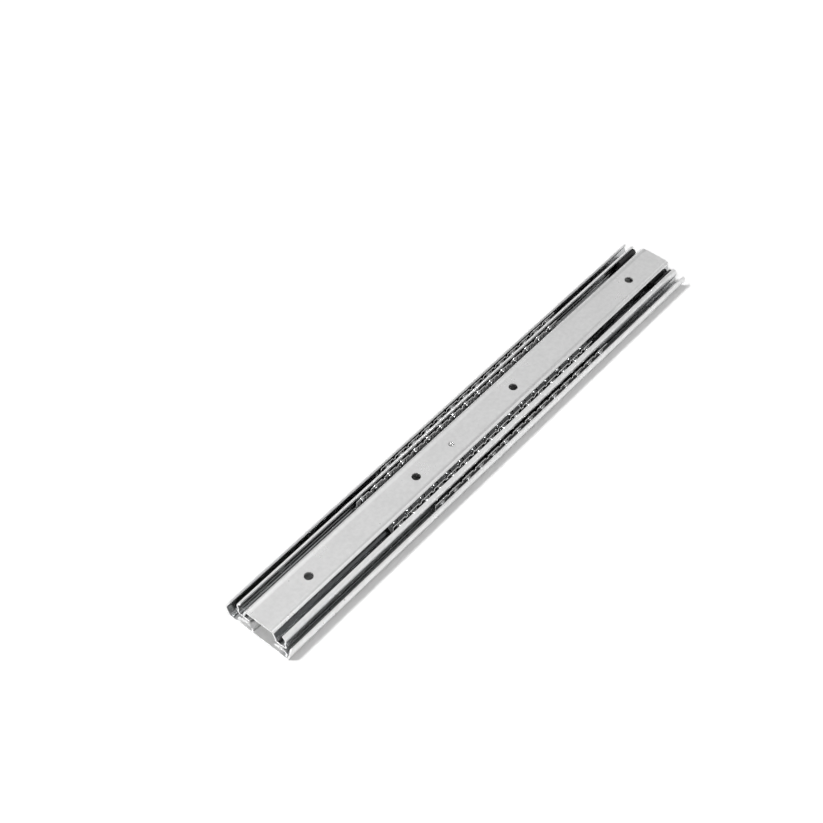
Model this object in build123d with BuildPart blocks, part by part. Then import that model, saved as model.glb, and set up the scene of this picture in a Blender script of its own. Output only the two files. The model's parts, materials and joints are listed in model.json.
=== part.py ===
"""Three-section ball-bearing drawer slide, shown closed and lying on its cabinet rail.

Millimetres. +X is the way the drawer opens, +Y runs across the rails and +Z points away from
the cabinet wall. The origin is the middle of the outer rail's back face.
"""

import os
from itertools import combinations
from math import asin, atan2, cos, degrees, hypot, radians, sin, sqrt

from build123d import *

# Overall sizes
rail_length = 350.0
slide_width = 46.0
slide_thickness = 12.7
outer_sheet = 1.2
middle_sheet = 1.0
inner_sheet = 1.2
cage_sheet = 0.4

# Balls, with a little play in the races
ball_d = 4.5
ball_play = 0.2
ball_pitch = 11.1
inner_ball_count = 16
outer_ball_count = 14
race_r = ball_d / 2 + ball_play

# Ball rows across the section: the middle rail's sheet just fits between the two races
outer_ball_y = slide_width / 2 - outer_sheet - race_r
outer_ball_z = 6.5
inner_ball_z = 9.0
row_gap = 2 * race_r + middle_sheet
inner_ball_y = outer_ball_y - sqrt(row_gap**2 - (inner_ball_z - outer_ball_z) ** 2)

# Distances along the slide are measured from the outer rail's rear end
inner_first_ball = 95.6
outer_first_ball = 122.9

# Outer rail: the race wraps each ball from under its side to the lip
outer_race_low = -20
outer_race_lip = 48
outer_corner_r = 1.6
outer_lip_cuts = (2.5, 0.6)
rib_at = (0.5, 4.5)
rib = (5.5, 1.0, 3.5)
tongue_at = (7.2, 0.7)
tongue = (1.2, 10.5, 5.0)
cage_stop = (1.4, 4.0, 0.9)
cage_stop_y = 9.0
outer_stop_at = 347.4

# Cabinet screw holes: 37 mm from the front and 256 mm behind, with two slots to adjust by
cabinet_hole_d = 4.6
cabinet_holes = (57.0, 313.0)
cabinet_slot_length = 8.0
cabinet_slots = (153.0, 281.0)

# Middle rail
middle_ends = (3.0, 348.6)
middle_web_z = 2.6
middle_race_foot = 205
middle_race_lip = 76
middle_lip_cuts = (0.4, 0.8)
notch_half = 8.9
notch_to = 11.0
access_hole_d = 10.0
access_holes = (57.0, 96.0, 128.0)
middle_stop_at = 3.7

# Inner rail
inner_ends = (1.6, 351.2)
plate_dish = 0.3
plate_dish_half = (6.9, 8.6)
plate_flat_half = 8.9
plate_bend_r = 1.5
inner_race_foot = 215
plate_corner_r = 6.0
drawer_hole_d = 5.2
drawer_holes = (38.6, 124.3, 209.5, 322.6)

# Ball cages: a strip each side with a window per ball, joined by a bar at each end
inner_cage_ends = (90.3, 267.4)
outer_cage_ends = (117.5, 274.0)
cage_bar = 6.0
cage_window = 4.9
cage_dip = (1.9, 1.4)
inner_cage_y = 13.1
inner_cage_z = (4.1, 12.2)
inner_cage_bend = 1.5
inner_cage_opening = 10.5
outer_cage_y = outer_ball_y + cage_sheet / 2
outer_cage_z = (1.6, 9.5)
outer_cage_bend = 3.6
outer_cage_opening = 13.0

# Rear buffer
buffer_ends = (6.3, 10.4)
buffer_width = 15.4
buffer_top = 5.6
buffer_corner_r = 1.2

# Front bumper
bumper_ends = (332.3, 348.6)
bumper_base_top = 5.3
bumper_base_half = 14.8
bumper_post = (13.3, 14.8)
bumper_arm_r = 2.1
bumper_arm_chamfer = 0.9
bumper_arm_y = 14.15
bumper_peg_d = 5.0
bumper_peg_at = 341.0
catch_ends = (332.3, 337.0)
catch_y = (-6.2, -3.2)
catch_top = 7.8

# Release lever and its rivet, on the inner rail's centre line
lever_pivot = 154.1
lever_z = (8.2, 11.0)
lever_hub_r = 5.0
lever_arm_width = 3.8
thumb_at = (46.5, -4.2)
thumb_r = 3.0
hook_r = (14.5, 18.2)
hook_angles = (-20, -7)
hook_bottom = 6.0
spring_tip = (-20.0, -3.6)
spring_width = 1.1
rivet_d = 3.6
rivet_play = 0.05
rivet_head_d = 6.0
rivet_head_z = 7.5
rivet_crown = 0.2
rivet_chamfer = 0.15
rivet_cup_r = (0.8, 1.35)
rivet_cup_depth = 1.0

os.makedirs("parts", exist_ok=True)


def along(distance):
    """X of a point at a distance from the outer rail's rear end."""
    return distance - rail_length / 2


def both_sides(value):
    """A value and its mirror image across the slide's middle."""
    return (-value, value)


def save(piece, name):
    """Label a finished piece and write it to its own file."""
    piece.part.label = name
    export_step(piece.part, f"parts/{name}.step")


def lip_cuts(ends, cuts, top):
    """Side-view triangles that cut back the corners of a rail's lips at its rear and front."""
    for end, cut, inward in zip(ends, cuts, (1, -1)):
        yield Polygon(
            (along(end) - inward, top - cut - 1),
            (along(end) - inward, top + 1),
            (along(end) + inward * (cut + 1), top + 1),
            align=None,
            mode=Mode.PRIVATE,
        )


# Outer rail: the side ramp meets the race tangentially
outer_slope = 90 + outer_race_low
outer_race_out = race_r + outer_sheet
ramp_top_y = outer_ball_y + outer_race_out * cos(radians(outer_race_low))
ramp_top_z = outer_ball_z + outer_race_out * sin(radians(outer_race_low))
ramp_foot_y = ramp_top_y - ramp_top_z / sin(radians(outer_slope)) * cos(radians(outer_slope))
corner_reach = outer_corner_r * (1 - cos(radians(outer_slope))) / sin(radians(outer_slope))
outer_lip_top = outer_ball_z + outer_race_out * sin(radians(outer_race_lip))

with BuildPart() as outer_member:
    with BuildSketch(Plane.YZ.offset(along(0))):
        with BuildLine():
            web = Line((0, 0), (ramp_foot_y - corner_reach, 0))
            corner = JernArc(web @ 1, web % 1, outer_corner_r, outer_slope)
            ramp = Line(corner @ 1, (ramp_top_y, ramp_top_z))
            JernArc(ramp @ 1, ramp % 1, outer_race_out, outer_race_lip - outer_race_low)
            offset(amount=outer_sheet, side=Side.LEFT)
        make_face()
        mirror(about=Plane.YZ)
    extrude(amount=rail_length)
    with BuildSketch(Plane.XZ):
        add(lip_cuts((0, rail_length), outer_lip_cuts, outer_lip_top))
    extrude(amount=slide_width, both=True, mode=Mode.SUBTRACT)
    with BuildSketch():
        with Locations(*[(along(hole), 0) for hole in cabinet_holes]):
            Circle(cabinet_hole_d / 2)
        with Locations(*[(along(slot), 0) for slot in cabinet_slots]):
            SlotOverall(cabinet_slot_length, cabinet_hole_d)
    extrude(amount=outer_sheet, mode=Mode.SUBTRACT)
    with Locations((along(rib_at[0]), rib_at[1], 0)):
        Box(*rib, align=(Align.MIN, Align.CENTER, Align.MIN))
    with Locations((along(tongue_at[0]), tongue_at[1], 0)):
        Box(*tongue, align=(Align.MIN, Align.CENTER, Align.MIN))
    with Locations(*[(along(outer_stop_at), y, outer_sheet) for y in both_sides(cage_stop_y)]):
        Box(*cage_stop, align=(Align.MIN, Align.CENTER, Align.MIN))
save(outer_member, "outer_member")

# Rubber buffer, a sleeve pushed down over the tongue
with BuildPart() as rear_buffer:
    with BuildSketch(Plane.XY.offset(outer_sheet)):
        with Locations((along(buffer_ends[0]), tongue_at[1])):
            sleeve = Rectangle(
                buffer_ends[1] - buffer_ends[0], buffer_width, align=(Align.MIN, Align.CENTER)
            )
        fillet(sleeve.vertices(), buffer_corner_r)
    extrude(amount=buffer_top - outer_sheet)
    with Locations((along(tongue_at[0]), tongue_at[1], 0)):
        Box(*tongue, align=(Align.MIN, Align.CENTER, Align.MIN), mode=Mode.SUBTRACT)
save(rear_buffer, "rear_buffer")

# Middle rail: corner, outer ball race and inner ball race run into each other
cross_angle = degrees(atan2(inner_ball_z - outer_ball_z, outer_ball_y - inner_ball_y))
foot_z = outer_ball_z + race_r * sin(radians(middle_race_foot))
foot_y = outer_ball_y + race_r * cos(radians(middle_race_foot))
corner_turn = middle_race_foot - 90
middle_corner_r = (foot_z - middle_web_z) / (1 - cos(radians(corner_turn)))
middle_web_half = foot_y - middle_corner_r * sin(radians(corner_turn))
middle_lip_top = inner_ball_z + (race_r + middle_sheet) * sin(radians(middle_race_lip))
middle_length = middle_ends[1] - middle_ends[0]

with BuildPart() as middle_member:
    with BuildSketch(Plane.YZ.offset(along(middle_ends[0]))):
        with BuildLine():
            web = Line((0, middle_web_z), (middle_web_half, middle_web_z))
            corner = JernArc(web @ 1, web % 1, middle_corner_r, corner_turn)
            low = JernArc(corner @ 1, corner % 1, race_r, 180 - cross_angle - middle_race_foot)
            JernArc(low @ 1, low % 1, race_r + middle_sheet, middle_race_lip + cross_angle)
            offset(amount=middle_sheet, side=Side.LEFT)
        make_face()
        mirror(about=Plane.YZ)
    extrude(amount=middle_length)
    with BuildSketch(Plane.XZ):
        add(lip_cuts(middle_ends, middle_lip_cuts, middle_lip_top))
    extrude(amount=slide_width, both=True, mode=Mode.SUBTRACT)
    with BuildSketch(Plane.XY.offset(middle_web_z)):
        with Locations((along(0), 0)):
            Rectangle(notch_to, 2 * notch_half, align=(Align.MIN, Align.CENTER))
        with Locations(*[(along(hole), 0) for hole in access_holes]):
            Circle(access_hole_d / 2)
        with Locations((along(bumper_peg_at), 0)):
            Circle(bumper_peg_d / 2)
    extrude(amount=middle_sheet, mode=Mode.SUBTRACT)
    with Locations(*[(along(middle_stop_at), y, middle_web_z) for y in both_sides(cage_stop_y + 3)]):
        Box(*cage_stop, align=(Align.MIN, Align.CENTER, Align.MAX))
save(middle_member, "middle_member")

# Inner rail: the plate is dished between raised shoulders, and the leg is the straight that
# touches both the plate's bend and the ball race
plate_top = slide_thickness - plate_dish
bend_z = slide_thickness - plate_bend_r
centres = hypot(inner_ball_y - plate_flat_half, bend_z - inner_ball_z)
leg_fall = degrees(atan2(bend_z - inner_ball_z, inner_ball_y - plate_flat_half))
leg_slope = leg_fall + degrees(asin((plate_bend_r + race_r) / centres))
leg_length = sqrt(centres**2 - (plate_bend_r + race_r) ** 2)
inner_length = inner_ends[1] - inner_ends[0]
inner_foot_y = inner_ball_y + race_r * cos(radians(inner_race_foot))

with BuildPart() as inner_member:
    with BuildSketch(Plane.YZ.offset(along(inner_ends[0]))):
        with BuildLine():
            dish = Line((0, plate_top), (plate_dish_half[0], plate_top))
            rise = Line(dish @ 1, (plate_dish_half[1], slide_thickness))
            shoulder = Line(rise @ 1, (plate_flat_half, slide_thickness))
            bend = JernArc(shoulder @ 1, shoulder % 1, plate_bend_r, -leg_slope)
            leg = PolarLine(bend @ 1, leg_length, direction=bend % 1)
            JernArc(leg @ 1, leg % 1, race_r, inner_race_foot - 270 + leg_slope)
            offset(amount=inner_sheet, side=Side.RIGHT)
        make_face()
        mirror(about=Plane.YZ)
    extrude(amount=inner_length)
    with BuildSketch():
        with Locations((along(inner_ends[0]), 0)):
            outline = Rectangle(inner_length, 2 * inner_foot_y, align=(Align.MIN, Align.CENTER))
        fillet(outline.vertices().group_by(Axis.X)[-1], plate_corner_r)
    extrude(amount=slide_thickness, mode=Mode.INTERSECT)
    with BuildSketch(Plane.XY.offset(plate_top)):
        with Locations(*[(along(hole), 0) for hole in drawer_holes]):
            Circle(drawer_hole_d / 2)
        with Locations((along(lever_pivot), 0)):
            Circle(rivet_d / 2)
    extrude(amount=-inner_sheet, mode=Mode.SUBTRACT)
save(inner_member, "inner_member")


def ball_cage(ends, half, heights, bend, opening, first, count, ball_z):
    """Channel of thin strip with a window for each ball and a dip in the edge between them."""
    length = ends[1] - ends[0]
    stations = [along(first + ball_pitch * n) for n in range(count)]
    with BuildPart() as cage:
        with BuildSketch(Plane.YZ.offset(along(ends[0]))):
            with BuildLine():
                web = Line((0, heights[0]), (half - bend, heights[0]))
                corner = JernArc(web @ 1, web % 1, bend, 90)
                Line(corner @ 1, (half, heights[1]))
                offset(amount=cage_sheet, side=Side.LEFT)
            make_face()
            mirror(about=Plane.YZ)
        extrude(amount=length)
        with BuildSketch(Plane.XY.offset(heights[0])):
            with Locations((along(ends[0]) + length / 2, 0)):
                RectangleRounded(length - 2 * cage_bar, 2 * opening, 3)
        extrude(amount=cage_sheet, mode=Mode.SUBTRACT)
        with BuildSketch(Plane.XZ):
            with Locations(*[(x, ball_z) for x in stations]):
                Rectangle(cage_window, cage_window)
            with Locations(*[(x + ball_pitch / 2, heights[1]) for x in stations[:-1]]):
                Rectangle(cage_dip[0], 2 * cage_dip[1])
        extrude(amount=slide_width, both=True, mode=Mode.SUBTRACT)
    return cage


inner_ball_cage = ball_cage(
    inner_cage_ends,
    inner_cage_y,
    inner_cage_z,
    inner_cage_bend,
    inner_cage_opening,
    inner_first_ball,
    inner_ball_count,
    inner_ball_z,
)
save(inner_ball_cage, "inner_ball_cage")

outer_ball_cage = ball_cage(
    outer_cage_ends,
    outer_cage_y,
    outer_cage_z,
    outer_cage_bend,
    outer_cage_opening,
    outer_first_ball,
    outer_ball_count,
    outer_ball_z,
)
save(outer_ball_cage, "outer_ball_cage")


def ball_corners():
    """Corners of a twenty-sided solid and the middles of its edges, all brought out to the ball."""
    golden = (1 + sqrt(5)) / 2
    corners = []
    for short in both_sides(1):
        for tall in both_sides(golden):
            corners += [Vector(0, short, tall), Vector(short, tall, 0), Vector(tall, 0, short)]
    edge = min((start - end).length for start, end in combinations(corners, 2))
    pairs = [(start, end) for start, end in combinations(corners, 2) if (start - end).length < edge * 1.1]
    middles = [start + end for start, end in pairs]
    return [point.normalized() * (ball_d / 2) for point in corners + middles]


def ball_pair(x, y, z):
    """The two balls that face each other across the slide, with flat facets to keep them light."""
    with BuildPart() as pair:
        with Locations(*[(x, side, z) for side in both_sides(y)]):
            ConvexPolyhedron(ball_corners())
    return pair


for number in range(inner_ball_count):
    pair = ball_pair(along(inner_first_ball + ball_pitch * number), inner_ball_y, inner_ball_z)
    save(pair, f"inner_balls_{number + 1:02d}")

for number in range(outer_ball_count):
    pair = ball_pair(along(outer_first_ball + ball_pitch * number), outer_ball_y, outer_ball_z)
    save(pair, f"outer_balls_{number + 1:02d}")

# Front bumper: two arms in the ball channels on a base that is pegged to the middle rail
bumper_length = bumper_ends[1] - bumper_ends[0]
bumper_base_z = middle_web_z + middle_sheet

with BuildPart() as front_bumper:
    with BuildSketch(Plane.YZ.offset(along(bumper_ends[0]))):
        with Locations((0, bumper_base_z)):
            Rectangle(
                2 * bumper_base_half,
                bumper_base_top - bumper_base_z,
                align=(Align.CENTER, Align.MIN),
            )
        post_half = (bumper_post[1] - bumper_post[0]) / 2
        for side in both_sides(bumper_post[0] + post_half):
            with Locations((side, bumper_base_z)):
                Rectangle(
                    2 * post_half,
                    inner_ball_z - bumper_base_z,
                    align=(Align.CENTER, Align.MIN),
                )
        with Locations(*[(side, inner_ball_z) for side in both_sides(bumper_arm_y)]):
            Circle(bumper_arm_r)
    extrude(amount=bumper_length)
    arm_edges = front_bumper.faces().sort_by(Axis.X)[-1].edges().filter_by(GeomType.CIRCLE)
    chamfer(arm_edges, bumper_arm_chamfer)
    with BuildSketch(Plane.XY.offset(bumper_base_z)):
        with Locations((along(catch_ends[0]), (catch_y[0] + catch_y[1]) / 2)):
            Rectangle(
                catch_ends[1] - catch_ends[0],
                catch_y[1] - catch_y[0],
                align=(Align.MIN, Align.CENTER),
            )
    extrude(amount=catch_top - bumper_base_z)
    with BuildSketch(Plane.XY.offset(middle_web_z)):
        with Locations((along(bumper_peg_at), 0)):
            Circle(bumper_peg_d / 2)
    extrude(amount=middle_sheet)
save(front_bumper, "front_bumper")

# Rivet through the plate, headed under the lever
with BuildPart() as lever_rivet:
    with BuildSketch(Plane.XY.offset(rivet_head_z)):
        with Locations((along(lever_pivot), 0)):
            Circle(rivet_head_d / 2)
    extrude(amount=lever_z[0] - rivet_play - rivet_head_z)
    with BuildSketch(Plane.XY.offset(rivet_head_z)):
        with Locations((along(lever_pivot), 0)):
            Circle(rivet_d / 2)
    extrude(amount=plate_top + rivet_crown - rivet_head_z)
    chamfer(lever_rivet.edges().sort_by(Axis.Z)[-1], rivet_chamfer)
    with Locations((along(lever_pivot), 0, plate_top + rivet_crown)):
        Cone(
            rivet_cup_r[0],
            rivet_cup_r[1],
            rivet_cup_depth,
            align=(Align.CENTER, Align.CENTER, Align.MAX),
            mode=Mode.SUBTRACT,
        )
save(lever_rivet, "lever_rivet")

# Release lever: hub, thumb arm, hook that meets the bumper's catch, and a moulded spring finger
with BuildPart() as release_lever:
    with BuildSketch(Plane((along(lever_pivot), 0, lever_z[0]))):
        Circle(lever_hub_r)
        with BuildLine():
            Line((0, 0), thumb_at)
        trace(line_width=lever_arm_width)
        with Locations(thumb_at):
            Circle(thumb_r)
        with BuildLine():
            Line((0, 0), spring_tip)
        trace(line_width=spring_width)
        Circle(rivet_d / 2 + rivet_play, mode=Mode.SUBTRACT)
    extrude(amount=lever_z[1] - lever_z[0])
    with BuildSketch(Plane((along(lever_pivot), 0, hook_bottom))):
        with BuildLine():
            inside = CenterArc((0, 0), hook_r[0], hook_angles[0], hook_angles[1] - hook_angles[0])
            outside = CenterArc((0, 0), hook_r[1], hook_angles[0], hook_angles[1] - hook_angles[0])
            Line(inside @ 0, outside @ 0)
            Line(inside @ 1, outside @ 1)
        make_face()
    extrude(amount=lever_z[1] - hook_bottom)
save(release_lever, "release_lever")
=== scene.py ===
import json
import math

import bpy
import bmesh
from mathutils import Matrix, Vector

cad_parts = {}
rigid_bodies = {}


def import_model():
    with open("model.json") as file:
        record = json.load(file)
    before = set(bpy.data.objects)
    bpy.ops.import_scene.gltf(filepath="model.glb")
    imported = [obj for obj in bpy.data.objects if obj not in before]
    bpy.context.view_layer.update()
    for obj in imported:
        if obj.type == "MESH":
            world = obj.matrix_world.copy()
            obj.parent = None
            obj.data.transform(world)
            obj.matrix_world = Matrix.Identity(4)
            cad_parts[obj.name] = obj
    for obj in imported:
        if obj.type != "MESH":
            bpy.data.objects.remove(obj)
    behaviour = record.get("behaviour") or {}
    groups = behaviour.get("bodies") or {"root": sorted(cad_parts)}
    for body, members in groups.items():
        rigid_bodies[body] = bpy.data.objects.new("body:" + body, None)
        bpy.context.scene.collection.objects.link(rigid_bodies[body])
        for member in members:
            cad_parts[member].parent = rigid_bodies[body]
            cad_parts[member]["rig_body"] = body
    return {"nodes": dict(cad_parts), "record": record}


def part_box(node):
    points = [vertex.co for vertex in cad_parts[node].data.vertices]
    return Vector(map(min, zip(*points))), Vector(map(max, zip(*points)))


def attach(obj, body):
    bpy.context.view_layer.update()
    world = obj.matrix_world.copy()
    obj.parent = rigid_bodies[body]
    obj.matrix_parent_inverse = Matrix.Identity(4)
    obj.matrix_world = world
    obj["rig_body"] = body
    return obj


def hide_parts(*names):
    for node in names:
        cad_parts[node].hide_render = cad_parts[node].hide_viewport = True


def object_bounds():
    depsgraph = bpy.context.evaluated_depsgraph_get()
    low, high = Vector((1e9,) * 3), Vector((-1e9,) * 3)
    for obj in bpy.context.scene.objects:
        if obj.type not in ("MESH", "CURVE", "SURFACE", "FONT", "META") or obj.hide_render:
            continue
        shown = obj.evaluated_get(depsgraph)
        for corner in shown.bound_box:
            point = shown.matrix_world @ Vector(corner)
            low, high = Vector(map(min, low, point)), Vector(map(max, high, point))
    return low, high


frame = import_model()
cadLow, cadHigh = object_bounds()
nodes = frame["nodes"]
mm = 0.001

# Sockets of the Mix node, whose names repeat: factor, two numbers, two colours, and the mixed colour out
mixFactor, mixNumberA, mixNumberB, mixColourA, mixColourB = 0, 2, 3, 6, 7
mixedColour = 2


def hexColour(code):
    # sRGB hex to the linear values that shaders use
    parts = [int(code[i:i + 2], 16) / 255 for i in (1, 3, 5)]
    return [c / 12.92 if c <= 0.04045 else ((c + 0.055) / 1.055) ** 2.4 for c in parts] + [1.0]


def addNode(tree, kind, values=None, links=None, **settings):
    node = tree.nodes.new(kind)
    for name, value in settings.items():
        setattr(node, name, value)
    for name, value in (values or {}).items():
        node.inputs[name].default_value = value
    for name, source in (links or {}).items():
        tree.links.new(source, node.inputs[name])
    return node


def newMaterial(name):
    material = bpy.data.materials.new(name)
    material.use_nodes = True
    tree = material.node_tree
    tree.nodes.clear()
    return material, tree


def perMetre(sizeMm):
    # noise scale that gives features of about this size
    return 1.0 / (sizeMm * mm)


def fromSpan(span, unit=1.0, start=0.0):
    # the span of values that a Map Range node reads
    return {"From Min": start + span[0] * unit, "From Max": start + span[1] * unit}


# Lines that the two rows of balls run along, as (y, z), read from the first pair of each row
def ballLine(name):
    low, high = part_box(name)
    return high.y - (high.x - low.x) / 2, (low.z + high.z) / 2


ballLines = [ballLine("inner_balls_01"), ballLine("outer_balls_01")]

# Zinc-plated cold-rolled strip: satin grey with a cloudy bloom and faint lines along the rolling, a
# thin milky passivation that keeps it from being a mirror, a wet film of grease down in the races whose
# darker colour there is painted shade, and pale torn metal on the sheared ends of the flanges
zincSteel = {
    "light": "#E8E8E8",
    "dull": "#DEDEDE",
    # painted shade: the darker colour of the ball channels, where the grease film also lies
    "greaseAndShade": "#B8B9BA",
    "sheared": "#EAEAEA",
    "shearedFromMm": (7.5, 9.0),  # the plate's own end is dressed smooth, so the torn look starts off it
    "shearedFacing": (0.6, 0.85),  # how squarely a face looks along the rail
    "greaseAndShadeMm": (6.0, 7.5),       # full inside the first distance from a ball line, none past the second
    "greaseAndShadeTopMm": (2.6, 3.2),    # the same for the height above that line
    "greaseAndShadeFacing": (0.05, 0.4),  # only faces that look at the balls get the grease film and painted shade, so the lips' tops stay bright
    "metallic": 0.7,              # the milky film scatters the rest; wet with grease it is all metal
    "bloomMm": 16.0,
    "bloomDetail": 4.0,
    "bloomRough": 0.6,
    "bloomSpan": (0.3, 0.7),
    "speckMm": 2.4,
    "speckDetail": 2.0,
    "toneSpan": (0.75, 1.25),     # bloom and speck added
    "grainMm": 0.7,               # real rolling lines are finer; drawn coarse enough to show
    "grainStretch": 60.0,
    "grainDetail": 3.0,
    "grainBump": 0.3,
    "grainHeightMm": 0.003,
    "roughLow": 0.26,
    "roughHigh": 0.36,
    "roughGrease": 0.1,
    "roughSheared": 0.6,
}


def makeZincSteel(name, look):
    material, tree = newMaterial(name)
    coords = addNode(tree, "ShaderNodeTexCoord")
    place = coords.outputs["Object"]
    bloom = addNode(tree, "ShaderNodeTexNoise",
                    {"Scale": perMetre(look["bloomMm"]), "Detail": look["bloomDetail"],
                     "Roughness": look["bloomRough"]}, {"Vector": place})
    speck = addNode(tree, "ShaderNodeTexNoise",
                    {"Scale": perMetre(look["speckMm"]), "Detail": look["speckDetail"]},
                    {"Vector": place})
    both = addNode(tree, "ShaderNodeMath", None, {0: bloom.outputs["Fac"], 1: speck.outputs["Fac"]},
                   operation="ADD")
    tone = addNode(tree, "ShaderNodeMapRange", fromSpan(look["toneSpan"]), {"Value": both.outputs[0]})
    zinc = addNode(tree, "ShaderNodeMix",
                   {mixColourA: hexColour(look["dull"]), mixColourB: hexColour(look["light"])},
                   {mixFactor: tone.outputs["Result"]}, data_type="RGBA")
    zincRough = addNode(tree, "ShaderNodeMapRange",
                        {**fromSpan(look["bloomSpan"]), "To Min": look["roughHigh"],
                         "To Max": look["roughLow"]}, {"Value": bloom.outputs["Fac"]})

    # how deep in the grease film and painted shade of either ball line a point is, both sides alike
    axes = addNode(tree, "ShaderNodeSeparateXYZ", None, {0: place})
    facing = addNode(tree, "ShaderNodeSeparateXYZ", None, {0: coords.outputs["Normal"]})
    side = addNode(tree, "ShaderNodeMath", None, {0: axes.outputs["Y"]}, operation="ABSOLUTE")
    sign = addNode(tree, "ShaderNodeMath", None, {0: axes.outputs["Y"]}, operation="SIGN")
    outward = addNode(tree, "ShaderNodeMath", None, {0: facing.outputs["Y"], 1: sign.outputs[0]},
                      operation="MULTIPLY")
    point = addNode(tree, "ShaderNodeCombineXYZ", None, {"Y": side.outputs[0], "Z": axes.outputs["Z"]})
    normal = addNode(tree, "ShaderNodeCombineXYZ", None,
                     {"Y": outward.outputs[0], "Z": facing.outputs["Z"]})
    filmsAndShade = []
    for y, z in ballLines:
        toBall = addNode(tree, "ShaderNodeVectorMath", {0: (0.0, y, z)}, {1: point.outputs[0]},
                         operation="SUBTRACT")
        away = addNode(tree, "ShaderNodeVectorMath", None, {0: toBall.outputs[0]}, operation="LENGTH")
        aim = addNode(tree, "ShaderNodeVectorMath", None, {0: toBall.outputs[0]}, operation="NORMALIZE")
        looks = addNode(tree, "ShaderNodeVectorMath", None, {0: aim.outputs[0], 1: normal.outputs[0]},
                        operation="DOT_PRODUCT")
        near = addNode(tree, "ShaderNodeMapRange",
                       {**fromSpan(look["greaseAndShadeMm"], mm), "To Min": 1.0, "To Max": 0.0},
                       {"Value": away.outputs["Value"]})
        under = addNode(tree, "ShaderNodeMapRange",
                        {**fromSpan(look["greaseAndShadeTopMm"], mm, z), "To Min": 1.0, "To Max": 0.0},
                        {"Value": axes.outputs["Z"]})
        toward = addNode(tree, "ShaderNodeMapRange", fromSpan(look["greaseAndShadeFacing"]),
                         {"Value": looks.outputs["Value"]})
        low = addNode(tree, "ShaderNodeMath", None,
                      {0: near.outputs["Result"], 1: under.outputs["Result"]}, operation="MULTIPLY")
        filmsAndShade.append(addNode(tree, "ShaderNodeMath", None,
                             {0: low.outputs[0], 1: toward.outputs["Result"]}, operation="MULTIPLY"))
    greaseAndShadeAmount = addNode(tree, "ShaderNodeMath", None, {0: filmsAndShade[0].outputs[0], 1: filmsAndShade[1].outputs[0]},
                     operation="MAXIMUM")
    # painted shade darkens the colour in the ball channels; the grease film there only changes gloss and
    # metal
    coatedAndShaded = addNode(tree, "ShaderNodeMix", {mixColourB: hexColour(look["greaseAndShade"])},
                     {mixFactor: greaseAndShadeAmount.outputs[0], mixColourA: zinc.outputs[mixedColour]},
                     data_type="RGBA")
    coatedRough = addNode(tree, "ShaderNodeMix", {mixNumberB: look["roughGrease"]},
                          {mixFactor: greaseAndShadeAmount.outputs[0], mixNumberA: zincRough.outputs["Result"]})
    metal = addNode(tree, "ShaderNodeMapRange", {"To Min": look["metallic"]},
                    {"Value": greaseAndShadeAmount.outputs[0]})

    # sheared ends face along the rail
    endOn = addNode(tree, "ShaderNodeMath", None, {0: facing.outputs["X"]}, operation="ABSOLUTE")
    squareOn = addNode(tree, "ShaderNodeMapRange", fromSpan(look["shearedFacing"]),
                       {"Value": endOn.outputs[0]})
    flange = addNode(tree, "ShaderNodeMapRange", fromSpan(look["shearedFromMm"], mm),
                     {"Value": side.outputs[0]})
    sheared = addNode(tree, "ShaderNodeMath", None,
                      {0: squareOn.outputs["Result"], 1: flange.outputs["Result"]},
                      operation="MULTIPLY")
    colour = addNode(tree, "ShaderNodeMix", {mixColourB: hexColour(look["sheared"])},
                     {mixFactor: sheared.outputs[0], mixColourA: coatedAndShaded.outputs[mixedColour]},
                     data_type="RGBA")
    rough = addNode(tree, "ShaderNodeMix", {mixNumberB: look["roughSheared"]},
                    {mixFactor: sheared.outputs[0], mixNumberA: coatedRough.outputs[0]})

    along = addNode(tree, "ShaderNodeMapping", {"Scale": (1 / look["grainStretch"], 1.0, 1.0)},
                    {"Vector": place})
    grain = addNode(tree, "ShaderNodeTexNoise",
                    {"Scale": perMetre(look["grainMm"]), "Detail": look["grainDetail"]},
                    {"Vector": along.outputs["Vector"]})
    bump = addNode(tree, "ShaderNodeBump",
                   {"Strength": look["grainBump"], "Distance": look["grainHeightMm"] * mm},
                   {"Height": grain.outputs["Fac"]})
    shader = addNode(tree, "ShaderNodeBsdfPrincipled", None,
                     {"Base Color": colour.outputs[mixedColour], "Metallic": metal.outputs["Result"],
                      "Roughness": rough.outputs[0], "Normal": bump.outputs["Normal"]})
    addNode(tree, "ShaderNodeOutputMaterial", None, {"Surface": shader.outputs["BSDF"]})
    return material


# Thin stamped strip for the cages: the same plating, a little greyer and smoother from the press, with the
# same painted shade where it faces the balls
cageSteel = dict(zincSteel, light="#D8D8D8", dull="#BEBEBE", greaseAndShade="#B0B0B0", bloomMm=6.0,
                 speckMm=0.8, roughLow=0.2, roughHigh=0.32)

# Zinc-plated rivet: a pressed crown, greyer than the plate and more of a mirror
rivetSteel = dict(zincSteel, light="#D8D8D8", dull="#BCBCBC", bloomMm=2.0, speckMm=0.5, metallic=1.0,
                  roughLow=0.14, roughHigh=0.24)

# Hardened bearing steel, polished: mirror-like with a trace of grease; its darker colour is only a random
# grease smear, with no painted shade
ballSteel = {"clean": "#B4B5B6", "greaseAndShade": "#8A8987", "smearMm": 1.8, "smearDetail": 3.0,
             "smearSpan": (0.4, 0.7), "roughLow": 0.05, "roughHigh": 0.16}


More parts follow.
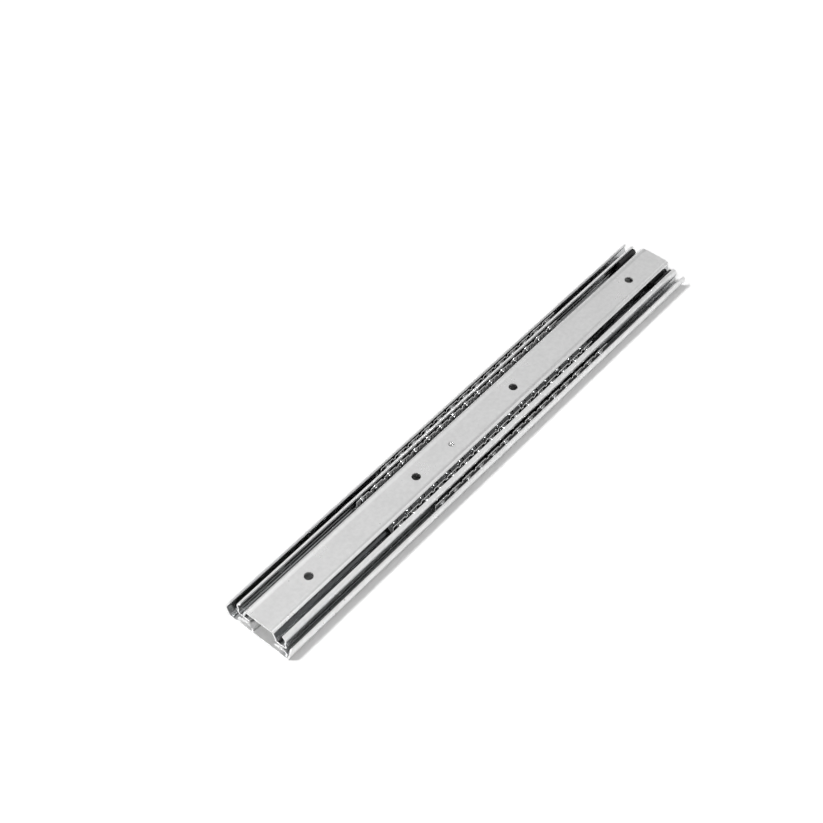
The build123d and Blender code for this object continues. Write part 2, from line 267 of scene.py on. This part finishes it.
def makeBallSteel(name, look):
    material, tree = newMaterial(name)
    place = addNode(tree, "ShaderNodeTexCoord").outputs["Object"]
    smear = addNode(tree, "ShaderNodeTexNoise",
                    {"Scale": perMetre(look["smearMm"]), "Detail": look["smearDetail"]},
                    {"Vector": place})
    amount = addNode(tree, "ShaderNodeMapRange", fromSpan(look["smearSpan"]),
                     {"Value": smear.outputs["Fac"]})
    colour = addNode(tree, "ShaderNodeMix",
                     {mixColourA: hexColour(look["clean"]), mixColourB: hexColour(look["greaseAndShade"])},
                     {mixFactor: amount.outputs["Result"]}, data_type="RGBA")
    rough = addNode(tree, "ShaderNodeMapRange",
                    {"To Min": look["roughLow"], "To Max": look["roughHigh"]},
                    {"Value": amount.outputs["Result"]})
    shader = addNode(tree, "ShaderNodeBsdfPrincipled", {"Metallic": 1.0},
                     {"Base Color": colour.outputs[mixedColour], "Roughness": rough.outputs["Result"]})
    addNode(tree, "ShaderNodeOutputMaterial", None, {"Surface": shader.outputs["BSDF"]})
    return material


# Moulded nylon, black: satin, with the tool's fine spark texture
blackNylon = {"dark": "#060607", "worn": "#101011", "patchMm": 5.0, "patchDetail": 4.0,
              "patchSpan": (0.42, 0.72), "textureMm": 0.45, "textureDetail": 2.0, "textureBump": 0.4,
              "textureHeightMm": 0.012, "roughLow": 0.45, "roughHigh": 0.6, "ior": 1.53}

# Moulded grey rubber for the rear buffer: matt, chalky where it has been knocked
bufferRubber = dict(blackNylon, dark="#7E7E7A", worn="#94948F", patchMm=3.0, textureMm=0.7,
                    textureHeightMm=0.02, roughLow=0.62, roughHigh=0.8, ior=1.52)


def makeMoulded(name, look):
    material, tree = newMaterial(name)
    place = addNode(tree, "ShaderNodeTexCoord").outputs["Object"]
    patch = addNode(tree, "ShaderNodeTexNoise",
                    {"Scale": perMetre(look["patchMm"]), "Detail": look["patchDetail"]},
                    {"Vector": place})
    texture = addNode(tree, "ShaderNodeTexNoise",
                      {"Scale": perMetre(look["textureMm"]), "Detail": look["textureDetail"]},
                      {"Vector": place})
    amount = addNode(tree, "ShaderNodeMapRange", fromSpan(look["patchSpan"]),
                     {"Value": patch.outputs["Fac"]})
    colour = addNode(tree, "ShaderNodeMix",
                     {mixColourA: hexColour(look["dark"]), mixColourB: hexColour(look["worn"])},
                     {mixFactor: amount.outputs["Result"]}, data_type="RGBA")
    rough = addNode(tree, "ShaderNodeMapRange",
                    {"To Min": look["roughLow"], "To Max": look["roughHigh"]},
                    {"Value": texture.outputs["Fac"]})
    bump = addNode(tree, "ShaderNodeBump",
                   {"Strength": look["textureBump"], "Distance": look["textureHeightMm"] * mm},
                   {"Height": texture.outputs["Fac"]})
    shader = addNode(tree, "ShaderNodeBsdfPrincipled", {"IOR": look["ior"]},
                     {"Base Color": colour.outputs[mixedColour], "Roughness": rough.outputs["Result"],
                      "Normal": bump.outputs["Normal"]})
    addNode(tree, "ShaderNodeOutputMaterial", None, {"Surface": shader.outputs["BSDF"]})
    return material


finishes = {
    "zinc_steel": makeZincSteel("zincPlatedStrip", zincSteel),
    "cage_steel": makeZincSteel("zincPlatedCageStrip", cageSteel),
    "rivet_steel": makeZincSteel("zincPlatedRivet", rivetSteel),
    "ball_steel": makeBallSteel("polishedBearingSteel", ballSteel),
    "black_plastic": makeMoulded("blackMouldedNylon", blackNylon),
    "buffer_rubber": makeMoulded("greyMouldedRubber", bufferRubber),
}
print("materials made:", len(finishes))

# Edge softening for the sheet-metal and moulded pieces
edges = {
    "widthMm": {"zinc_steel": 0.16, "cage_steel": 0.06, "rivet_steel": 0.08, "black_plastic": 0.25,
                "buffer_rubber": 0.3},
    "sharpDeg": 50.0,   # edges sharper than this are softened
    "segments": 2,
    "flatDeg": 0.5,     # faces closer than this to one plane are made whole
    "weldMm": 0.001,
}


def softenEdges(node, widthMm):
    node.modifiers.new("weld", "WELD").merge_threshold = edges["weldMm"] * mm
    # flat faces are made whole first, since rounding an edge folds over the long triangles beside it
    flatten = node.modifiers.new("flat", "DECIMATE")
    flatten.decimate_type = "DISSOLVE"
    flatten.angle_limit = math.radians(edges["flatDeg"])
    soften = node.modifiers.new("edge", "BEVEL")
    soften.width = widthMm * mm
    soften.segments = edges["segments"]
    soften.limit_method = "ANGLE"
    soften.angle_limit = math.radians(edges["sharpDeg"])
    soften.use_clamp_overlap = True
    soften.harden_normals = True


slotOf = {row["node"]: row["material_slot"] for row in frame["record"]["subparts"]}
for name, node in nodes.items():
    slot = slotOf[name]
    node.data.materials.clear()
    node.data.materials.append(finishes[slot])
    if slot in edges["widthMm"]:
        softenEdges(node, edges["widthMm"][slot])
print("CAD nodes finished")

# Smooth balls in place of the faceted ones, one pair a piece
balls = {"rings": 18, "segments": 32}


def makeBallPair(name):
    low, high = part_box(name)
    radius = (high.x - low.x) / 2
    centre = (low + high) / 2
    reach = high.y - radius
    mesh = bmesh.new()
    for y in (-reach, reach):
        spot = Matrix.Translation((centre.x, y, centre.z))
        bmesh.ops.create_uvsphere(mesh, u_segments=balls["segments"], v_segments=balls["rings"],
                                  radius=radius, matrix=spot)
    for face in mesh.faces:
        face.smooth = True
    data = bpy.data.meshes.new(name.replace("balls", "ballPair"))
    mesh.to_mesh(data)
    mesh.free()
    data.materials.append(finishes["ball_steel"])
    piece = bpy.data.objects.new(data.name, data)
    bpy.context.scene.collection.objects.link(piece)
    return piece


ballNodes = [name for name in nodes if "_balls_" in name]
for name in ballNodes:
    piece = makeBallPair(name)
    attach(piece, nodes[name]["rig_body"])
    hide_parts(name)
print("balls made:", 2 * len(ballNodes))

# Pale studio floor that sweeps up at its rim, lifted a little to white where it is seen, in metres
studioFloor = {"colour": "#DEDEDE", "lift": 0.02, "flat": 4.0, "curve": 3.0, "curveDeg": 68.0,
               "rings": 12, "segments": 96, "below": 0.05 * mm}


def makeFloor(look):
    turns = [math.radians(look["curveDeg"]) * i / look["rings"] for i in range(look["rings"] + 1)]
    rim = [(look["flat"] + look["curve"] * math.sin(t), look["curve"] * (1 - math.cos(t)))
           for t in turns]
    mesh = bmesh.new()
    spokes = [2 * math.pi * i / look["segments"] for i in range(look["segments"])]
    rows = [[mesh.verts.new((r * math.cos(s), r * math.sin(s), z)) for s in spokes] for r, z in rim]
    mesh.faces.new(rows[0])
    for low, high in zip(rows, rows[1:]):
        for i in range(len(spokes)):
            mesh.faces.new((low[i], low[i - 1], high[i - 1], high[i])).smooth = True
    data = bpy.data.meshes.new("studioFloor")
    mesh.to_mesh(data)
    mesh.free()
    floor = bpy.data.objects.new("studioFloor", data)
    floor.location.z = cadLow.z - look["below"]
    bpy.context.scene.collection.objects.link(floor)

    # matt paint: an even pale ground that keeps the slide's shadow
    material, tree = newMaterial("paintedFloor")
    paint = addNode(tree, "ShaderNodeBsdfDiffuse", {"Color": hexColour(look["colour"])})
    ray = addNode(tree, "ShaderNodeLightPath")
    direct = addNode(tree, "ShaderNodeMath", None,
                     {0: ray.outputs["Is Camera Ray"], 1: ray.outputs["Is Glossy Ray"]},
                     operation="ADD")
    seen = addNode(tree, "ShaderNodeMath", None,
                   {0: direct.outputs[0], 1: ray.outputs["Is Transmission Ray"]},
                   operation="ADD", use_clamp=True)
    lift = addNode(tree, "ShaderNodeMath", {1: look["lift"]}, {0: seen.outputs[0]},
                   operation="MULTIPLY")
    glow = addNode(tree, "ShaderNodeEmission", None, {"Strength": lift.outputs[0]})
    shader = addNode(tree, "ShaderNodeAddShader", None,
                     {0: paint.outputs["BSDF"], 1: glow.outputs["Emission"]})
    addNode(tree, "ShaderNodeOutputMaterial", None, {"Surface": shader.outputs["Shader"]})
    data.materials.append(material)


makeFloor(studioFloor)
print("floor made")

# Plain studio: one broad soft ceiling light, a little to the right, that fades to grey walls
studio = {"walls": 0.21, "ceiling": 0.74, "overhead": (-0.05, -0.333, 0.94), "fade": (0.388, 0.648)}
world = bpy.data.worlds.new("plainStudio")
bpy.context.scene.world = world
world.use_nodes = True
sky = world.node_tree
sky.nodes.clear()
toSky = addNode(sky, "ShaderNodeTexCoord")
overhead = addNode(sky, "ShaderNodeVectorMath", {1: studio["overhead"]},
                   {0: toSky.outputs["Generated"]}, operation="DOT_PRODUCT")
level = addNode(sky, "ShaderNodeMapRange",
                {**fromSpan(studio["fade"]), "To Min": studio["walls"], "To Max": studio["ceiling"]},
                {"Value": overhead.outputs["Value"]})
back = addNode(sky, "ShaderNodeBackground", {"Color": (1, 1, 1, 1)},
               {"Strength": level.outputs["Result"]})
addNode(sky, "ShaderNodeOutputWorld", None, {"Surface": back.outputs["Background"]})

# One lamp high on the left leaves a soft narrow shadow on the right, and a small one in front of the
# slide puts the sparkle on its balls
studioLamps = {
    "keyLamp": {"direction": (-0.45, 0.25, 0.86), "spreadDeg": 14.0, "strength": 2.8},
    "sparkleLamp": {"direction": (-0.49, -0.42, 0.757), "spreadDeg": 6.0, "strength": 0.15},
}


def makeLamp(name, look):
    lamp = bpy.data.lights.new(name, "SUN")
    lamp.angle = math.radians(look["spreadDeg"])
    lamp.energy = look["strength"]
    holder = bpy.data.objects.new(name, lamp)
    holder.rotation_euler = Vector(look["direction"]).to_track_quat("Z", "Y").to_euler()
    bpy.context.scene.collection.objects.link(holder)


for name, look in studioLamps.items():
    makeLamp(name, look)
print("studio lit")

# Camera where the photograph was taken from
photoCamera = {"framePx": 823, "focalPx": 1613.0, "tiltDeg": 49.24, "turnDeg": 40.34,
               "placeMm": (-466.5, -349.8, 696.7), "sensorMm": 36.0}


def makeCamera(look):
    data = bpy.data.cameras.new("photoCamera")
    data.sensor_width = look["sensorMm"]
    data.lens = look["focalPx"] * look["sensorMm"] / look["framePx"]
    tilt, turn = math.radians(look["tiltDeg"]), math.radians(look["turnDeg"])
    forward = Vector((math.cos(tilt) * math.cos(turn), math.cos(tilt) * math.sin(turn),
                      -math.sin(tilt)))
    right = Vector((math.sin(turn), -math.cos(turn), 0))
    up = right.cross(forward)
    pose = Matrix((right, up, -forward)).transposed().to_4x4()
    pose.translation = Vector(look["placeMm"]) * mm
    camera = bpy.data.objects.new("photoCamera", data)
    camera.matrix_world = pose
    bpy.context.scene.collection.objects.link(camera)
    bpy.context.scene.camera = camera


makeCamera(photoCamera)
bpy.context.scene.view_settings.view_transform = "Standard"
print("camera placed")
